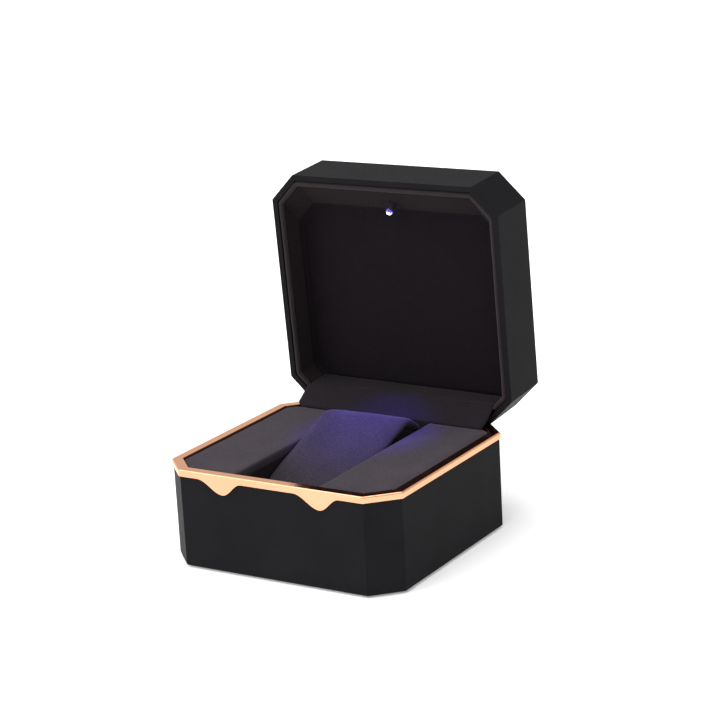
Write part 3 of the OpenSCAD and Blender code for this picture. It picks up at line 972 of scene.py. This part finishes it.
def lamp_beam():
    """Violet spot from the lamp's tip down to the tongue's crest; it rides on the lid."""
    data = bpy.data.lights.new("lamp_beam", "SPOT")
    data.energy = 1.15
    data.color = VIOLET
    data.shadow_soft_size = 1.2 * MM
    data.spot_size = math.radians(45)
    data.spot_blend = 1.0
    obj = bpy.data.objects.new("lamp_beam", data)
    bpy.context.scene.collection.objects.link(obj)
    obj.location = BEAM_START * MM
    obj.rotation_mode = "QUATERNION"
    obj.rotation_quaternion = (BEAM_TARGET - BEAM_START).to_track_quat("-Z", "Y")
    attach(obj, "lid")


lamp_beam()


# ---------------------------------------------------------------- stage, lights and camera

FLOOR_HALF = 30
WHITE = (1, 1, 1, 1)
# Brightness of the studio's walls by height, from the horizon at 0 to overhead at 1.
WALLS = ((0.0, 1.0), (0.12, 0.91), (0.8, 0.38))
SOFTBOX_AIM = Vector((0.4, 0.36, -1))
CAMERA_RIGHT = Vector((0.8547837, 0.51631177, -0.05260205))
CAMERA_UP = Vector((-0.09782435, 0.25982898, 0.96068689))
CAMERA_PLACE = Vector((445.4918, -693.7296, 304.7786))


def floor():
    look = Look("floor_white", 0.9, Specular_IOR_Level=0.0, Emission_Color=WHITE, Emission_Strength=0.24)
    look.colour(look.noise(size_mm=400, detail=2), (0.93, 0.93, 0.93, 1), (0.95, 0.95, 0.95, 1))
    corners = [(-1, -1), (1, -1), (1, 1), (-1, 1)]
    mesh = bpy.data.meshes.new("floor")
    mesh.from_pydata([(x * FLOOR_HALF, y * FLOOR_HALF, 0) for x, y in corners], [], [(0, 1, 2, 3)])
    mesh.materials.append(look.material)
    obj = bpy.data.objects.new("floor", mesh)
    bpy.context.scene.collection.objects.link(obj)


def studio():
    """Pale surroundings, brightest near the horizon."""
    world = bpy.data.worlds.new("studio")
    world.use_nodes = True
    tree = world.node_tree
    direction = tree.nodes.new("ShaderNodeTexCoord")
    height = tree.nodes.new("ShaderNodeSeparateXYZ")
    shade = tree.nodes.new("ShaderNodeValToRGB")
    tree.links.new(direction.outputs["Generated"], height.inputs["Vector"])
    tree.links.new(height.outputs["Z"], shade.inputs["Fac"])
    shade.color_ramp.elements.new(0.5)
    for element, (at, grey) in zip(shade.color_ramp.elements, WALLS):
        element.position = at
        element.color = (grey, grey, grey, 1)
    tree.links.new(shade.outputs["Color"], tree.nodes["Background"].inputs["Color"])
    bpy.context.scene.world = world


def softbox():
    """One very wide, soft light from above, the front and the left."""
    data = bpy.data.lights.new("softbox", "SUN")
    data.energy = 3.5
    data.angle = math.radians(95)
    obj = bpy.data.objects.new("softbox", data)
    bpy.context.scene.collection.objects.link(obj)
    obj.rotation_mode = "QUATERNION"
    obj.rotation_quaternion = SOFTBOX_AIM.to_track_quat("-Z", "Y")


def camera():
    """Camera fitted to the box's corners: where it stands, and the directions of its right and up."""
    data = bpy.data.cameras.new("camera")
    data.sensor_width = 36.0
    data.lens = 115.0
    data.clip_start = 0.01
    data.clip_end = 100
    obj = bpy.data.objects.new("camera", data)
    bpy.context.scene.collection.objects.link(obj)
    axes = (CAMERA_RIGHT, CAMERA_UP, CAMERA_RIGHT.cross(CAMERA_UP))
    turn = Matrix(axes).transposed().to_4x4()
    obj.matrix_world = Matrix.Translation(CAMERA_PLACE * MM) @ turn
    bpy.context.scene.camera = obj
    bpy.context.scene.view_settings.view_transform = "Standard"


floor()
studio()
softbox()
camera()
